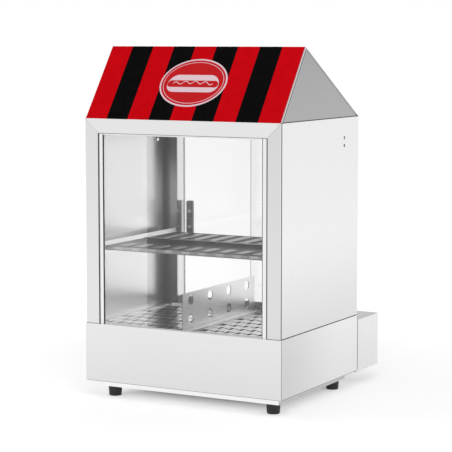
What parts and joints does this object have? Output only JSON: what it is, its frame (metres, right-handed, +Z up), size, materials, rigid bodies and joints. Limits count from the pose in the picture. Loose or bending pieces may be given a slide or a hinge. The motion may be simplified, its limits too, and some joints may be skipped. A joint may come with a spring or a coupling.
{
  "type": "hot dog steamer",
  "caption": "Countertop food steamer: glazed cabinet over a heated water tank, ribbed bun shelf, sliding rear doors, pitched striped sign roof, rear control box.",
  "frame": {"origin": "on the ground, under the middle of the whole outline, control box, drain valve and all", "axes": "+X to the right as seen from the front, +Y from the front glass to the rear doors and control box, +Z up"},
  "size_m": [0.44, 0.5174, 0.7035],
  "materials": {
    "steel": "brushed",
    "steel_inner": "polished",
    "aluminium_trim": "satin anodised",
    "sign_print": "gloss print in red and black stripes",
    "clear_glass": "clear, tempered",
    "black_rubber": "matt",
    "black_plastic": "fine texture",
    "black_gloss": "gloss",
    "red_lens": "translucent red",
    "amber_lens": "translucent amber",
    "dial_plate": "satin with scale ticks",
    "zinc_screw": "bright zinc",
    "element_sheath": "matt, heat tinted",
    "nickel_brass": "nickel plated",
    "copper_probe": "bare copper",
    "lever_paint": "dipped coating",
    "cream_ceramic": "glazed",
    "lead_sleeve": "woven glass sleeve"
  },
  "bodies": {
    "cabinet": {"rubber_feet": "black_rubber", "foot_screws": "zinc_screw", "bottom_pan": "steel", "base_housing": "steel", "water_tank": "steel_inner", "tank_bridge": "steel_inner", "tray_ledges": "steel_inner", "side_panel_right": "steel", "side_panel_left": "steel", "front_stile_right": "steel", "front_stile_left": "steel", "front_top_rail": "steel", "glass_channel_left": "aluminium_trim", "glass_channel_right": "aluminium_trim", "glass_channel_top": "aluminium_trim", "front_glass": "clear_glass", "glass_seal": "black_rubber", "rear_stile_right": "steel", "rear_stile_left": "steel", "rear_top_rail": "steel", "ceiling_panel": "steel_inner", "door_track_bottom": "aluminium_trim", "door_track_top": "aluminium_trim", "bun_shelf": "steel_inner", "shelf_brackets": "steel_inner", "roof_shell": "steel", "gable_right": "steel", "gable_left": "steel", "sign_panel": "sign_print", "control_box": "steel", "control_panel": "steel", "panel_screws": "zinc_screw", "thermostat_body": "black_plastic", "thermostat_dial": "dial_plate", "thermostat_probe": "copper_probe", "switch_body": "black_gloss", "power_lamp": "red_lens", "heat_lamp": "amber_lens", "cable_gland": "black_plastic", "terminal_block": "cream_ceramic", "heating_element": "element_sheath", "heater_nuts": "nickel_brass", "heater_comb": "steel_inner", "safety_cutout": "black_plastic", "drain_pipe": "nickel_brass", "drain_valve": "nickel_brass", "inner_wiring": "lead_sleeve"},
    "left_door": {"rear_door_left": "clear_glass", "left_door_handle": "aluminium_trim", "left_door_plate": "aluminium_trim", "left_door_screws": "zinc_screw"},
    "right_door": {"rear_door_right": "clear_glass", "right_door_plates": "aluminium_trim", "right_door_screws": "zinc_screw"},
    "divider_plate": {"divider": "steel_inner"},
    "tray_left": {"steam_tray_left": "steel_inner"},
    "tray_right": {"steam_tray_right": "steel_inner"},
    "temperature_knob": {"thermostat_knob": "black_plastic"},
    "power_rocker": {"switch_rocker": "black_gloss"},
    "valve_lever": {"drain_lever": "lever_paint"}
  },
  "joints": [
    {"name": "left_door_slide", "type": "slide", "parent": "cabinet", "child": "left_door", "axis": [1, 0, 0], "range_m": [0, 0.1668]},
    {"name": "right_door_slide", "type": "slide", "parent": "cabinet", "child": "right_door", "axis": [-1, 0, 0], "range_m": [0, 0.1668]},
    {"name": "divider_lift", "type": "slide", "parent": "cabinet", "child": "divider_plate", "axis": [0, 0, 1], "range_m": [0, 0.07]},
    {"name": "left_tray_lift", "type": "slide", "parent": "cabinet", "child": "tray_left", "axis": [0, 0, 1], "range_m": [0, 0.05]},
    {"name": "right_tray_lift", "type": "slide", "parent": "cabinet", "child": "tray_right", "axis": [0, 0, 1], "range_m": [0, 0.05]},
    {"name": "thermostat_turn", "type": "hinge", "parent": "cabinet", "child": "temperature_knob", "pos_m": [0.14, 0.20375, 0.086], "axis": [0, 1, 0], "range_deg": [0, 270]},
    {"name": "power_switch", "type": "hinge", "parent": "cabinet", "child": "power_rocker", "pos_m": [0.02, 0.20175, 0.086], "axis": [1, 0, 0], "range_deg": [0, 18]},
    {"name": "drain_turn", "type": "hinge", "parent": "cabinet", "child": "valve_lever", "pos_m": [-0.15, 0.22275, 0.051], "axis": [0, 0, -1], "range_deg": [0, 90]}
  ]
}
